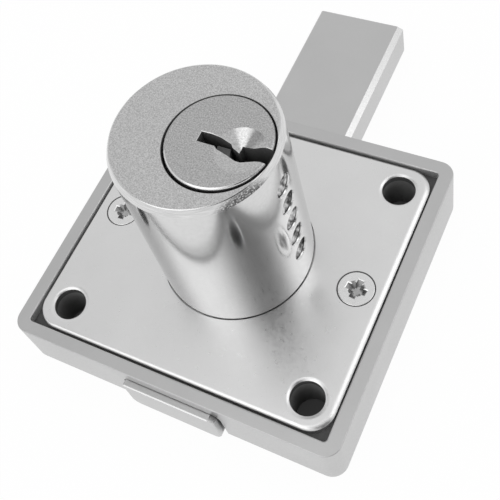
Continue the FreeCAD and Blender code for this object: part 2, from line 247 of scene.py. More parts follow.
def turned_edge_metal():
    material, tree, place = new_material("turned_nickel_edge")
    part = add(tree, "ShaderNodeSeparateXYZ", {"Vector": place})
    angle = add(tree, "ShaderNodeMath", {0: part.outputs["Y"], 1: part.outputs["X"]},
                operation="ARCTAN2")
    along = add(tree, "ShaderNodeMath", {0: angle.outputs["Value"], 1: barrel_radius},
                operation="MULTIPLY")
    unrolled = add(tree, "ShaderNodeCombineXYZ", {"X": along.outputs["Value"],
                                                  "Z": part.outputs["Z"]})
    squeezed = add(tree, "ShaderNodeMapping", {
        "Vector": unrolled.outputs["Vector"], "Scale": (0.06, 1, 1)})
    lines = add(tree, "ShaderNodeTexNoise", {
        "Vector": squeezed.outputs["Vector"], "Scale": 1 / line_width, "Detail": 3.0})
    scuff_place = add(tree, "ShaderNodeMapping", {
        "Vector": unrolled.outputs["Vector"], "Scale": (0.6, 1, 1)})
    scuffs = add(tree, "ShaderNodeTexNoise", {
        "Vector": scuff_place.outputs["Vector"], "Scale": 1 / scuff_width, "Detail": 4.0})
    facing = add(tree, "ShaderNodeVectorMath", {
        0: add(tree, "ShaderNodeVectorMath", {0: place, 1: (1, 1, 0)},
               operation="MULTIPLY").outputs["Vector"],
        1: (scuff_side[0] / barrel_radius, scuff_side[1] / barrel_radius, 0)},
        operation="DOT_PRODUCT")
    near = add(tree, "ShaderNodeMapRange", {
        "Value": facing.outputs["Value"], "From Min": 0.93, "From Max": 0.975})
    scuffed = add(tree, "ShaderNodeMapRange", {
        "Value": scuffs.outputs["Fac"], "From Min": 0.32, "From Max": 0.52,
        "To Max": near.outputs["Result"]})
    bare = add(tree, "ShaderNodeMix", {
        "Factor": lines.outputs["Fac"], MIX_DARK: linear("#B6B6B6"), MIX_LIGHT: linear("#F0F0F0")},
        data_type="RGBA")
    colour = add(tree, "ShaderNodeMix", {
        "Factor": scuffed.outputs["Result"], MIX_DARK: bare.outputs[MIX_RESULT],
        MIX_LIGHT: linear("#5E5E5E")}, data_type="RGBA")
    bump = add(tree, "ShaderNodeBump", {
        "Height": lines.outputs["Fac"], "Strength": 1.0, "Distance": 2e-6})
    shader = add(tree, "ShaderNodeBsdfPrincipled", {
        "Base Color": colour.outputs[MIX_RESULT], "Metallic": 1.0, "Roughness": 0.22,
        "Normal": bump.outputs["Normal"]})
    add(tree, "ShaderNodeOutputMaterial", {"Surface": shader.outputs["BSDF"]})
    return material


turned_edge = turned_edge_metal()
print(turned_edge.name, "nodes:", len(turned_edge.node_tree.nodes))

# %% [markdown]
# Nothing polishes the inside of a hole. The walls of the keyway, the screw holes and the floor of
# the recess lie in shade, and that shade is painted on them: they get a dark grey coat instead of
# metal. It isn't a mirror: it is a dull coat with a roughness of 0.7, and not metallic, so it keeps
# the shader's own IOR of 1.5. The four long bores through the casting get a paler painted shade.
# Little light gets down there, and they look as dark as the others.

# %% Painted shade in the hollows
def painted_shade_coat(name, dark, light):
    material, tree, place = new_material(name)
    coat_mottle = add(tree, "ShaderNodeTexNoise", {
        "Vector": place, "Scale": 1 / (0.5 * mm), "Detail": 3.0})
    colour = add(tree, "ShaderNodeMix", {
        "Factor": coat_mottle.outputs["Fac"], MIX_DARK: linear(dark), MIX_LIGHT: linear(light)},
        data_type="RGBA")
    bump = add(tree, "ShaderNodeBump", {
        "Height": coat_mottle.outputs["Fac"], "Strength": 1.0, "Distance": 0.01 * mm})
    shader = add(tree, "ShaderNodeBsdfPrincipled", {
        "Base Color": colour.outputs[MIX_RESULT], "Roughness": 0.7,
        "Normal": bump.outputs["Normal"]})
    add(tree, "ShaderNodeOutputMaterial", {"Surface": shader.outputs["BSDF"]})
    return material


# Dark grey painted shade for the holes, the keyway and the recess floor, and a paler painted shade for the bores
# through the casting.
painted_shade = painted_shade_coat("painted_shade_in_hollows", "#484848", "#5C5C5C")
paler_painted_shade = painted_shade_coat("paler_painted_shade_in_bores", "#787878", "#8C8C8C")
print("hollows:", painted_shade.name, "and", paler_painted_shade.name)

# %% [markdown]
# The pieces inside are plain engineering metals: brass pins, zinc-plated steel for the cam, ground
# steel for the stud and drawn steel wire for the springs. Turned and drawn surfaces carry fine
# lines, so their grain is squeezed one way. They are drawn about as wide as a real turning line,
# 0.1 to 0.3 mm, which gives brass a soft silky band of light and steel a cooler one.

# %% Finishes of the parts inside
pin_brass = worked_metal("turned_brass", "#E0C684", "#CFB26C", 0.24, 0.2, 1.5, 1.5, (4, 1, 1))
cam_steel = worked_metal("zinc_plated_steel", "#D0D2D4", "#C0C2C4", 0.32, 0.3, 1.5, 3)
stud_steel = worked_metal("ground_steel", "#C4C4C4", "#B4B4B4", 0.2, 0.15, 1.0, 2, (1, 1, 6))
spring_wire = worked_metal("drawn_spring_steel", "#B4B4B2", "#9C9C9A", 0.3, 0.1, 1.0, 1, (5, 1, 1))
print("finishes:", [material.name for material in bpy.data.materials][-4:])

# %% [markdown]
# ## Helpers for shapes
#
# Most pieces are outlines stacked at different heights: a turned part is a stack of circles, a
# rounded block a stack of rounded rectangles, and an inset near the top makes a rolled edge. A
# `skin` over such a stack is a closed solid with clean quads, which is what Blender's boolean tool
# needs. The other way, bevelling a boxy mesh afterwards, gives poor corners round the holes.

# %% Outlines
def arc(centre, radius, start, end, steps):
    turns = [math.radians(start + (end - start) * step / steps) for step in range(steps + 1)]
    return [(centre[0] + radius * math.cos(t), centre[1] + radius * math.sin(t)) for t in turns]


def circle(radius, centre=(0, 0), steps=96):
    return arc(centre, radius, 0, 360, steps)[:-1]


def rectangle(low, high):
    return [(low[0], low[1]), (high[0], low[1]), (high[0], high[1]), (low[0], high[1])]


def rounded_rectangle(low, high, radius, steps=10):
    near, far = (low[0] + radius, low[1] + radius), (high[0] - radius, high[1] - radius)
    return (arc(far, radius, 0, 90, steps) + arc((near[0], far[1]), radius, 90, 180, steps)
            + arc(near, radius, 180, 270, steps) + arc((far[0], near[1]), radius, 270, 360, steps))


def rolled_edge(radius, steps=6):
    """(inset, rise) pairs over a quarter round, from its foot to its top."""
    return [(radius - x, y) for x, y in arc((0, 0), radius, 0, 90, steps)]


def drawn_in_edge(width, tilt, steps=6):
    """(inset, rise) pairs over a shallow round that a press draws in, from its foot to its top."""
    radius = width / math.sin(math.radians(tilt))
    points = []
    for step in range(steps, -1, -1):
        turn = math.radians(tilt * step / steps)
        drop = radius * (1 - math.cos(math.radians(tilt)))
        points.append((width - radius * math.sin(turn), drop - radius * (1 - math.cos(turn))))
    return points


def widened(outline, by):
    """The outline moved outwards by a distance, with mitred corners."""
    moved = []
    for index, (x, y) in enumerate(outline):
        place = Vector((x, y))
        before = (place - Vector(outline[index - 1])).normalized()
        after = (Vector(outline[(index + 1) % len(outline)]) - place).normalized()
        sides = Vector((before.y, -before.x)), Vector((after.y, -after.x))
        mitre = (sides[0] + sides[1]).normalized()
        moved.append(tuple(place + mitre * by / max(mitre.dot(sides[0]), 0.4)))
    return moved


strays = barrel_radius * (1 - math.cos(math.pi / 96))
print("a circle of 96 steps strays from the barrel by mm:", round(strays / mm, 4))

# %% [markdown]
# The stack is built upwards along Z. Pins and drillings run along X and the bolt runs along Y, so
# two short functions lay a finished stack down that way. The case, its recess and the cover plate
# are all rounded rectangles that are drawn in or let out as they rise, so one function makes those
# layers. The shares let a side be drawn in less than the right one.

# %% Solids from stacked outlines
def skin(name, layers, material):
    """A closed solid over (outline, height) layers, lowest first."""
    count = len(layers[0][0])
    points = [(x, y, z) for outline, z in layers for x, y in outline]
    faces = [tuple(reversed(range(count))), tuple(range(len(points) - count, len(points)))]
    for low in range(0, len(points) - count, count):
        for i in range(count):
            j = (i + 1) % count
            faces.append((low + i, low + j, low + count + j, low + count + i))
    mesh = bpy.data.meshes.new(name)
    mesh.from_pydata(points, [], faces)
    mesh.materials.append(material)
    piece = bpy.data.objects.new(name, mesh)
    bpy.context.scene.collection.objects.link(piece)
    return piece


def inset_layers(low, high, corner, insets, steps=10, left_share=1, end_share=1):
    """Rounded rectangles, one for each (inset, height), as layers for skin()."""
    layers = []
    for inset, z in insets:
        near = (low[0] + inset * left_share, low[1] + inset * end_share)
        far = (high[0] - inset, high[1] - inset * end_share)
        layers.append((rounded_rectangle(near, far, corner - inset * end_share, steps), z))
    return layers


def turned(name, profile, centre, material, steps=96):
    """A turned solid from (radius, height) points, lowest first."""
    return skin(name, [(circle(radius, centre, steps), z) for radius, z in profile], material)


def block(name, low, high, material):
    outline = rectangle(low, high)
    return skin(name, [(outline, low[2]), (outline, high[2])], material)


def run_along_y(piece):
    """Lays down a stack whose outlines are (x, z) sections and whose heights are y."""
    piece.data.transform(Matrix(((1, 0, 0, 0), (0, 0, 1, 0), (0, 1, 0, 0), (0, 0, 0, 1))))
    piece.data.flip_normals()
    return piece


def run_along_x(piece, x, z):
    """Lays down a stack built at the origin so that it runs from x along +X at height z."""
    piece.data.transform(Matrix.Translation((x, 0, z)) @ Matrix.Rotation(math.pi / 2, 4, "Y"))
    return piece


print("skin makes", skin.__doc__)

# %% [markdown]
# One casting or turning can have more than one finish, such as a polished wall and a ground face.
# They could be separate pieces, but then their edges would have to meet exactly. So it stays one
# mesh, and each face gets the finish that belongs to its place.

# %% Several finishes on one piece
def give_finish(piece, material, belongs):
    """Gives the material to those faces of the piece's first finish for which belongs(face)."""
    piece.data.materials.append(material)
    index = len(piece.data.materials) - 1
    for face in piece.data.polygons:
        if face.material_index == 0 and belongs(face):
            face.material_index = index
    return piece


print("give_finish:", give_finish.__doc__)

# %% [markdown]
# The boolean tool takes the cutters away from a piece, or joins them to it. The new walls take the
# cutter's own material, so a hole can be drilled in bright nickel and come out with painted shade on its wall.

# %% Cutting and joining
def combine(piece, others, operation):
    bench = bpy.data.collections.new("bench")
    bpy.context.scene.collection.children.link(bench)
    for other in others:
        bpy.context.scene.collection.objects.unlink(other)
        bench.objects.link(other)
    modifier = piece.modifiers.new("combine", "BOOLEAN")
    modifier.operation = operation
    modifier.operand_type = "COLLECTION"
    modifier.collection = bench
    modifier.solver = "EXACT"
    modifier.material_mode = "TRANSFER"
    graph = bpy.context.evaluated_depsgraph_get()
    shaped = bpy.data.meshes.new_from_object(piece.evaluated_get(graph), depsgraph=graph)
    piece.modifiers.clear()
    spare = piece.data
    piece.data = shaped
    bpy.data.meshes.remove(spare)
    for other in others:
        bpy.data.meshes.remove(other.data)
    bpy.data.collections.remove(bench)
    return piece


def cut(piece, cutters):
    return combine(piece, cutters, "DIFFERENCE")


def join(piece, others):
    return combine(piece, others, "UNION")


print("solids are cut and joined by:", cut.__name__, join.__name__)

# %% [markdown]
# A mirror finish shows every flaw in the shading. Each corner of each face therefore gets the
# normal of the surface it stands for: on a listed round wall it points straight away from the
# axis, and elsewhere it is the mean of the faces around it of the same finish that lie within 35
# degrees, weighted by their area, which keeps a large flat flat up to its rolled edge.

# %% True normals
def away_from(place, wall):
    arm = place - wall[0]
    return arm - wall[1] * arm.dot(wall[1])


def round_wall(mesh, face, rounds):
    for wall in rounds:
        if abs(face.normal.dot(wall[1])) < 0.01:
            arms = [away_from(mesh.vertices[v].co, wall).length for v in face.vertices]
            if max(abs(arm - wall[2]) for arm in arms) < 0.003 * mm:
                return wall
    return None


def shade(piece, rounds=(), limit=math.radians(35)):
    """Sets the corner normals. Each round wall is (a point on its axis, the axis, its radius)."""
    mesh = piece.data
    around = [[] for _ in mesh.vertices]
    for face in mesh.polygons:
        face.use_smooth = True
        for vertex in face.vertices:
            around[vertex].append(face)
    normals = [up] * len(mesh.loops)
    for face in mesh.polygons:
        wall = round_wall(mesh, face, rounds)
        for corner in face.loop_indices:
            vertex = mesh.loops[corner].vertex_index
            if wall:
                arm = away_from(mesh.vertices[vertex].co, wall)
                total = arm if arm.dot(face.normal) > 0 else -arm
            else:
                near = [f for f in around[vertex] if f.material_index == face.material_index
                        and f.normal.angle(face.normal, 0) < limit]
                total = sum((f.normal * f.area for f in near), Vector())
            normals[corner] = total.normalized() if total.length > 0 else face.normal.copy()
    mesh.normals_split_custom_set(normals)
    return piece


print("shade:", shade.__doc__)

# %% [markdown]
# Every finished piece rides on a CAD body, and the CAD nodes that it stands for are hidden. One
# function does both, so neither is forgotten.

# %% Handing a piece over
def hand_over(piece, body, nodes):
    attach(piece, body)
    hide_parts(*nodes)
    print(piece.name, "faces:", len(piece.data.polygons), "rides on", body)
    return piece


# %% [markdown]
# ## The case
#
# The case is one casting: a shallow tray whose rim stands round the cover plate. Its outer edges
# are softened by the plating and the polishing mop. Inside it has the recess for the plate, the
# bed for the barrel's flange, the bolt's channel and a slot in each end wall for the bolt. It is
# cut from a rounded block in the same steps as the real die's cores make it.

# %% Sizes of the case
beyond = 1.0 * mm           # how far a cutter reaches past what it cuts
fit_gap = 0.02 * mm
rim_width = 2.05 * mm
front_rim = 1.93 * mm
seat_width = 1.9 * mm
cavity_y = case_high.y - rim_width - seat_width
case_corner = 2.3 * mm
case_edge = 0.12 * mm
recess_corner = 0.5 * mm
mouth_ease = 0.2 * mm
bolt_half = 7.2 * mm
wing_half = (bolt_high.x - bolt_low.x) / 2
side_gap = 0.3 * mm
slot_side_gap = 0.45 * mm
slot_top_gap = 0.3 * mm
slot_corner = 1.5 * mm
bed_half = (barrel_high.y - barrel_low.y) / 2 + 0.15 * mm
wing_thickness = 2.2 * mm
rail_z = bolt_high.z - wing_thickness - 0.1 * mm
holes = mounts["mounting_holes"]["dims"]
hole_radius = holes["hole_r_mm"] * mm
hole_reach_x = holes["spacing_x_mm"] * mm / 2
hole_reach_y = holes["spacing_y_mm"] * mm / 2
hole_places = [(case_middle + x * hole_reach_x, y * hole_reach_y) for x in (-1, 1) for y in (-1, 1)]
countersink_radius = 4.1 * mm
screw_head_radius = (screws_high.y - screws_low.y) / 2
screw_places = [(screws_low.x + screw_head_radius, 0.0), (screws_high.x - screw_head_radius, 0.0)]
screw_hole_radius = 1.52 * mm
screw_shank_radius = 1.5 * mm
print("case in mm:", [round(side / mm, 2) for side in case_high - case_low])

# %% [markdown]
# The outside is a stack of rounded rectangles with a small quarter round at each end. The recess
# could be cut with sharp walls, but the mop has eased the real one's mouth, which shows as a fine
# bright line along the rim. So its cutter widens in a small round at the top.

# %% The case's outside and the plate's recess
def case_outside():
    roll = rolled_edge(case_edge)
    insets = [(inset, case_low.z + case_edge - rise) for inset, rise in reversed(roll)]
    insets += [(inset, case_high.z - case_edge + rise) for inset, rise in roll]
    return skin("case_casting", inset_layers(case_low, case_high, case_corner, insets), cast_zinc)


def recess_cutter():
    """The recess: painted shade on its floor, as-cast walls and a plated mouth."""
    mouth_foot = case_high.z - mouth_ease
    insets = [(0, plate_low.z)]
    insets += [(-grow, mouth_foot + rise) for grow, rise in rolled_edge(mouth_ease, 4)]
    insets += [(-mouth_ease, case_high.z + beyond)]
    low = (case_low.x + rim_width, case_low.y + front_rim)
    high = (case_high.x - rim_width, case_high.y - rim_width)
    cutter = skin("recess", inset_layers(low, high, recess_corner, insets, 6), painted_shade)
    give_finish(cutter, cast_zinc, lambda face: face.center.z > mouth_foot)
    return give_finish(cutter, cast_wall, lambda face: face.normal.z > -0.5)


casting = case_outside()
print(casting.name, "faces before cutting:", len(casting.data.polygons))

# %% [markdown]
# The bolt leaves the case through a slot in each end wall. The slot is rounded at its two upper
# corners, where the core of the die was rounded, and it is open at the back. All the hollows are
# cut in one go, as one boolean over many cutters is quicker and cleaner than one for each.

# %% The case's inside
def wall_slot_cutter():
    half = bolt_half + slot_side_gap
    top = bolt_high.z + slot_top_gap
    foot = case_low.z - beyond
    section = [(-half, foot), (half, foot)]
    section += arc((half - slot_corner, top - slot_corner), slot_corner, 0, 90, 8)
    section += arc((slot_corner - half, top - slot_corner), slot_corner, 90, 180, 8)
    ends = (case_low.y - beyond, case_high.y + beyond)
    # The slot's walls get painted shade, which shows as the dark gap beside the bolt.
    return run_along_y(skin("wall_slot", [(section, y) for y in ends], painted_shade))


def make_case():
    wing_room = wing_half + side_gap
    channel = bolt_half + side_gap
    # The recess floor, the bed, the wing room, the wall slots and the screw holes get painted shade, and the
    # mounting holes get the paler painted shade.
    cutters = [
        recess_cutter(),
        block("bed", (-bed_half, -bed_half, barrel_low.z), (bed_half, bed_half, beyond), painted_shade),
        block("wing_room", (-wing_room, -cavity_y, rail_z), (wing_room, cavity_y, beyond), painted_shade),
        block("channel", (-channel, -cavity_y, case_low.z - beyond), (channel, cavity_y, beyond),
              cast_zinc),
        wall_slot_cutter(),
    ]
    sink_top = case_low.z + countersink_radius - hole_radius
    for centre in hole_places:
        profile = [(countersink_radius + beyond, case_low.z - beyond), (hole_radius, sink_top),
                   (hole_radius, beyond)]
        cutters.append(turned("mounting_hole", profile, centre, paler_painted_shade, 64))
    for centre in screw_places:
        profile = [(screw_hole_radius, screws_low.z - fit_gap), (screw_hole_radius, beyond)]
        cutters.append(turned("screw_hole", profile, centre, painted_shade, 48))
    return shade(cut(casting, cutters))


hand_over(make_case(), "housing", ["case"])

# %% [markdown]
# ## The cover plate
#
# The plate is blanked from 1.2 mm sheet. The press draws its upper edge over and breaks the edge of
# each hole, and those thin rounds catch the light as the bright lines that outline the plate. The
# press tool stood a little to one side, so the right edge is drawn in most and the left edge least:
# `left_share` and `end_share` are the shares of the right edge's width that those edges get.

# %% Sizes of the cover plate
plate_corner = 3.5 * mm
plate_roll = 0.9 * mm
left_share = 0.22
end_share = 0.6
hole_roll = 0.55 * mm
roll_tilt = 35
barrel_hole_radius = barrel_radius + 0.1 * mm
barrel_hole_roll = 0.05 * mm
print("plate in mm:", [round(side / mm, 2) for side in plate_high - plate_low])

# %% [markdown]
# A bevel modifier could round the edges, but it gives the same width all round. So the plate is a
# stack of outlines drawn in by their shares, and each hole is cut with a tool that has the rim's
# round on it. The hole's wall gets painted shade and its rim the plate's bright nickel, so the tool carries both
# finishes.

# %% The cover plate
def hole_cutter(radius, width, centre, steps=80):
    """A hole through the plate with painted shade on its wall, whose upper rim is rounded off and bright."""
    roll = drawn_in_edge(width, roll_tilt)
    foot = plate_high.z - roll[-1][1]
    profile = [(radius, plate_low.z - beyond)]
    profile += [(radius + inset, foot + rise) for inset, rise in roll]
    profile += [(radius + width, plate_high.z + beyond)]
    cutter = turned("plate_hole", profile, centre, painted_shade, steps)
    return give_finish(cutter, pressed_steel, lambda face: face.center.z > foot)


def screw_seat_cutter(centre):
    clear_radius = screw_shank_radius + 0.1 * mm
    profile = [(clear_radius, plate_low.z - beyond), (clear_radius, plate_low.z),
               (screw_head_radius, plate_high.z), (screw_head_radius, beyond)]
    # The seat's wall gets painted shade, which shows as the fine dark ring round each screw head.
    return turned("screw_seat", profile, centre, painted_shade, 64)


def make_cover_plate():
    roll = drawn_in_edge(plate_roll, roll_tilt)
    insets = [(0, plate_low.z)]
    insets += [(inset, plate_high.z - roll[-1][1] + rise) for inset, rise in roll]
    layers = inset_layers(plate_low, plate_high, plate_corner, insets, 16, left_share, end_share)
    plate = skin("cover_plate_pressing", layers, pressed_steel)
    cutters = [hole_cutter(barrel_hole_radius, barrel_hole_roll, (0, 0), 160)]
    cutters += [hole_cutter(hole_radius, hole_roll, centre) for centre in hole_places]
    cutters += [screw_seat_cutter(centre) for centre in screw_places]
    return shade(cut(plate, cutters))


hand_over(make_cover_plate(), "housing", ["cover_plate"])

# %% [markdown]
# ## The plate screws
#
# Two countersunk machine screws hold the plate. Their recess is a cross whose arms taper in, with
# four short ticks between the arms. It could be painted on as a dark mark, but its walls catch the
# light one by one, so a tapered star is cut out of the head. The head's face is a little smaller
# than its seat, which leaves a fine dark ring. Each screw was driven home at its own angle.

# %% The plate screws
screw_face_inset = 0.14 * mm
screw_chamfer = 0.3 * mm


def star(reach, half, tick_reach, tick_half):
    """A cross with a short tick between each pair of arms, as one outline."""
    quarter = [(reach, -half), (reach, half)]
    corner = half + tick_half * 0.7
    end, side = tick_reach * 0.71, tick_half * 0.7
    quarter += [(corner + tick_half, half), (end + side, end - side), (end - side, end + side),
                (half, corner + tick_half)]
    outline = []
    for c, s in ((1, 0), (0, 1), (-1, 0), (0, -1)):
        outline += [(c * x - s * y, s * x + c * y) for x, y in quarter]
    return outline


def cross_cutter():
    """The recess from its foot up, in a darker nickel, with a bright lip."""
    top = plate_high.z
    foot = star(0.75 * mm, 0.2 * mm, 0.55 * mm, 0.1 * mm)
    wide = star(1.45 * mm, 0.42 * mm, 1.12 * mm, 0.26 * mm)
    eased = star(1.6 * mm, 0.55 * mm, 1.26 * mm, 0.36 * mm)
    lip = top - 0.1 * mm
    layers = [(foot, top - 0.9 * mm), (wide, lip), (eased, top), (eased, top + beyond)]
    cutter = skin("cross", layers, darker_recess)
    return give_finish(cutter, screw_nickel_and_painted_highlight, lambda face: face.center.z > lip)


def make_plate_screw(name, centre, driven_angle):
    edge = 0.12 * mm
    face_radius = screw_head_radius - screw_face_inset
    profile = [(screw_shank_radius - screw_chamfer, screws_low.z),
               (screw_shank_radius, screws_low.z + screw_chamfer),
               (screw_shank_radius, plate_low.z),
               (screw_head_radius - 0.3 * mm, plate_high.z - 0.4 * mm)]
    profile += [(face_radius - inset, plate_high.z - edge + rise)
                for inset, rise in rolled_edge(edge, 4)]
    screw = cut(turned(name, profile, (0, 0), screw_nickel_and_painted_highlight, 64), [cross_cutter()])
    screw.data.transform(Matrix.Translation((centre[0], centre[1], 0))
                         @ Matrix.Rotation(math.radians(driven_angle), 4, "Z"))
    return shade(screw)


for number, driven_angle in enumerate((4, -6)):
    screw = make_plate_screw(f"plate_screw_{number + 1}", screw_places[number], driven_angle)
    hand_over(screw, "housing", ["plate_screws"])

# %% [markdown]
# ## The barrel
#
# The barrel is the 22 mm cylinder that fills the hole in the drawer front. It is turned, bored off
# centre for the plug, and drilled through its thin side for the five pins. Its round wall mirrors
# the plate, so it needs many steps: it is a stack of circles with 288 points each.

# %% Sizes of the barrel
edge_width = 0.45 * mm
edge_height = 1.0 * mm
corner_round = 0.12 * mm
plug_bore_radius = 6.05 * mm
head_bore_radius = 7.0 * mm
worn_centre = (plug_axis + 0.045 * mm, -0.143 * mm)
head_thickness = 2.0 * mm
pin_hole_radius = 1.64 * mm
drilling_radius = 1.56 * mm
drilling_floor = 0.12 * mm
point_depth = 0.9 * mm
rim_height = 0.3 * mm
rim_flare = 0.2 * mm
cam_pocket_depth = 2.0 * mm
foot_groove = 0.3 * mm
pin_heights = [sum(corner.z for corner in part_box(f"driver_pin_{n}")) / 2 for n in range(1, 6)]
chamber_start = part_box("pin_spring_1")[0].x - fit_gap
print("pins at heights in mm:", [round(z / mm, 2) for z in pin_heights])

# %% [markdown]
# The barrel could be a cylinder with a bevel modifier. Its narrow edge slants, though, with a small
# round above and below it, and its foot has a fine groove, so its profile is written out point by
# point, as a turner would read it off a drawing. The drillings keep the drill's pointed end, which
# mirrors the tent, where a flat end would only look black. The small bright and dark patches on the
# point and the walls are painted reflections.

# %% The barrel's turned form
def barrel_profile():
    """(radius, height) up the wall, over the rounded knee, up the slanting edge to the face."""
    top, knee, face_radius = barrel_high.z, barrel_high.z - edge_height, barrel_radius - edge_width
    lean = math.atan2(edge_width, edge_height)
    across, rise = corner_round * math.sin(lean), corner_round * math.cos(lean)
    root = barrel_radius - foot_groove
    return [(root, barrel_low.z), (root, plate_high.z - 0.1 * mm),
            (barrel_radius, plate_high.z + 0.2 * mm), (barrel_radius, knee - corner_round),
            (barrel_radius - across * 0.25, knee), (barrel_radius - across, knee + rise),
            (face_radius + across, top - rise),
            (face_radius - corner_round * 0.25, top - rise * 0.3),
            (face_radius - corner_round, top)]


def drilling_cutter(z):
    """A drilling into the barrel's thin side: the drill's point at its end, painted reflections on its wall and
    point, and a painted highlight on its rim.
    """
    start = plug_axis + plug_bore_radius + drilling_floor
    length = barrel_radius - start
    flared = drilling_radius + rim_flare
    profile = [(0.05 * mm, 0), (drilling_radius, point_depth),
               (drilling_radius, length - rim_height),
               (drilling_radius + rim_flare / 4, length - rim_height / 2),
               (flared, length), (flared, length + beyond)]
    cutter = run_along_x(turned("drilling", profile, (0, 0), drilling_painted_reflections, 64), start, z)
    rim = start + length - rim_height
    return give_finish(cutter, screw_nickel_and_painted_highlight, lambda face: face.center.x > rim)


def make_barrel():
    barrel = turned("barrel_cylinder", barrel_profile(), (0, 0), polished_nickel, 288)
    flange_half = (barrel_high.y - barrel_low.y) / 2
    flange = block("flange", (-flange_half, -flange_half, barrel_low.z),
                   (flange_half, flange_half, plate_low.z), pressed_steel)
    join(barrel, [flange])
    top = barrel_high.z
    edge = 0.05 * mm
    centre = (plug_axis, 0)
    low, high = barrel_low.z - beyond, top + beyond
    # The head bore, the plug bore, the cam pocket and the pin chambers get painted shade on their walls.
    head_profile = [(head_bore_radius, top - head_thickness - 0.05 * mm),
                    (head_bore_radius, top - edge), (head_bore_radius + edge, top),
                    (head_bore_radius + edge, high)]
    head_bore = turned("head_bore", head_profile, worn_centre, painted_shade, 160)
    plug_bore_profile = [(plug_bore_radius, low), (plug_bore_radius, high)]
    cutters = [
        turned("plug_bore", plug_bore_profile, centre, painted_shade, 128),
        head_bore,
        turned("cam_pocket", [(head_bore_radius, low),
                              (head_bore_radius, barrel_low.z + cam_pocket_depth)],
               centre, painted_shade, 128),
    ]
    for z in pin_heights:
        profile = [(pin_hole_radius, 0), (pin_hole_radius, plug_axis - chamber_start)]
        chamber = turned("chamber", profile, (0, 0), painted_shade, 64)
        cutters += [run_along_x(chamber, chamber_start, z), drilling_cutter(z)]
    return cut(barrel, cutters)


barrel = make_barrel()
print(barrel.name, "faces:", len(barrel.data.polygons))

# %% [markdown]
# The barrel is polished on its wall, turned on its narrow edge and ground on its face. Its round
# walls are listed for the shading, because the mirror finish would show each of their flat steps.

# %% The barrel's three finishes
edge_foot = barrel_high.z - edge_height - corner_round
give_finish(barrel, ground_face, lambda face: face.center.z > barrel_high.z - 0.01 * mm)
give_finish(barrel, turned_edge, lambda face: face.center.z > edge_foot and face.normal.z > 0.05)
barrel_walls = [(Vector((0, 0, 0)), up, barrel_radius),
                (Vector((*worn_centre, 0)), up, head_bore_radius)]
barrel_walls += [(Vector((0, 0, z)), along_x, radius) for z in pin_heights
                 for radius in (pin_hole_radius, drilling_radius)]
hand_over(shade(barrel, barrel_walls), "housing", ["barrel"])

# %% [markdown]
# ## The plug
#
# The plug is a stepped brass core, nickel plated. Its head stands a little proud of the barrel's
# face, so its rounded edge shows as a bright crescent, which a painted highlight on its front part
# makes brighter. It is turned first and then cut, as the real one is: the keyway, the dimple, the slot for the
# cam's tongue and the five pin bores.

# %% Sizes of the plug
plug_radius = 6.0 * mm
plug_head_radius = (plug_high.y - plug_low.y) / 2
plug_edge = 0.4 * mm
keyway_edge = 0.07 * mm
keyway_floor = 3.5 * mm
ward_depth = 1.0 * mm
dimple_centre = (plug_axis + 3.1 * mm, -0.4 * mm)
dimple_radius = 3.2 * mm
dimple_depth = 0.9 * mm
tongue_reach = 4.65 * mm
tongue_half = 1.52 * mm
tongue_depth = 1.02 * mm
screw_bore_radius = 1.27 * mm
pin_bore_end = 0.6 * mm
print("plug's head in mm:", round(plug_head_radius / mm, 2), "in radius")

# %% [markdown]
# The keyway is a warded slot that opens at the plug's side. A dark patch on the face could stand
# for it from far off, but from near its walls show, and so does the rib that stands in it, so it
# is a real slot. Its outline was read off as corner points in millimetres from the plug's axis.

# %% The keyway
def in_plug(points):
    return [(plug_axis + x * mm, y * mm) for x, y in points]


def keyway_outline():
    """The warded section, anticlockwise, from its closed end round to it again."""
    lower = [(-2.55, -0.8), (-0.1, -0.8), (0.25, -1.15), (1.65, -1.35), (2.85, -1.7), (3.55, -1.7),
             (4.2, -1.45), (5.2, -1.2), (6.1, -1.15), (7.8, -1.3)]
    upper = [(7.8, 0.7), (6.0, 0.85), (5.3, 0.8), (4.35, 0.55), (2.85, 0.5), (2.75, -0.4),
             (1.8, -0.1), (1.5, 0.25), (0.85, 0.35), (-0.2, 0.55), (-1.2, 0.65), (-2.55, 0.6)]
    return in_plug(lower + upper)


def keyway_cutter():
    """A slot with painted shade on its walls and a thin bright break along its edge, less the rib that stands in
    it.
    """
    outline = keyway_outline()
    wide = widened(outline, keyway_edge)
    top = plug_high.z
    layers = [(outline, keyway_floor), (outline, top - keyway_edge), (wide, top),
              (wide, top + beyond)]
    cutter = skin("keyway", layers, painted_shade)
    give_finish(cutter, turned_edge, lambda face: face.center.z > top - keyway_edge)
    rib = in_plug([(-0.2, -0.15), (-0.2, -1.2), (1.95, -1.7), (1.5, -0.15)])
    ward = skin("ward", [(rib, keyway_floor - beyond), (rib, top - ward_depth)], painted_shade)
    return cut(cutter, [ward])


print("corners of the keyway:", len(keyway_outline()))

# %% [markdown]
# A conical dimple beside the keyway leads the key's tip in. It is cut as a cone, as the real one is
# by a countersink. The lower part of the head's rounded edge, where it faces the front, gets a
# painted highlight in the screws' brighter nickel.

# %% The plug
def front_edge_painted_highlight(face):
    """True on the head's rounded edge where it faces the front, the part with the painted highlight."""
    x, y, z = face.normal
    return 0.1 < z < 0.98 and y < -0.5 * (x ** 2 + y ** 2) ** 0.5


